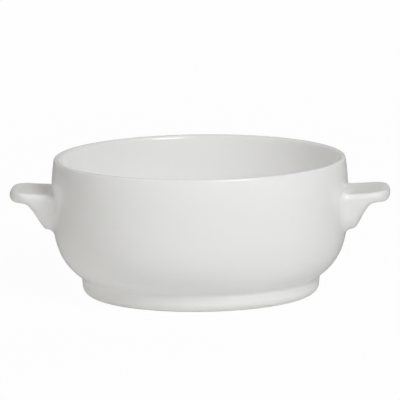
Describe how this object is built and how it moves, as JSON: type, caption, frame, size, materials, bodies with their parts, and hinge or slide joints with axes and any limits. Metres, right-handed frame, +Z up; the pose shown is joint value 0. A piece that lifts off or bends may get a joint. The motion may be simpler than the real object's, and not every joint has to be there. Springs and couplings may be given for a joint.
{
  "type": "soup bowl",
  "caption": "Round glazed ceramic soup bowl with a rounded lip, a standing foot ring and solid lug handles on opposite sides, for serving and carrying hot soup.",
  "frame": {"origin": "on the table, under the middle of the bowl, at the level of the foot ring's standing face", "axes": "+Z up along the bowl's axis, +X out through the right handle, -Y towards the viewer of the picture"},
  "size_m": [0.1414, 0.11, 0.051],
  "materials": {
    "white_glaze": "gloss",
    "fired_slip": "satin"
  },
  "bodies": {
    "root": {"bowl_body": "white_glaze", "foot_ring": "white_glaze", "foot_slip": "fired_slip", "right_handle": "white_glaze", "right_handle_slip": "fired_slip", "left_handle": "white_glaze", "left_handle_slip": "fired_slip"}
  },
  "joints": []
}
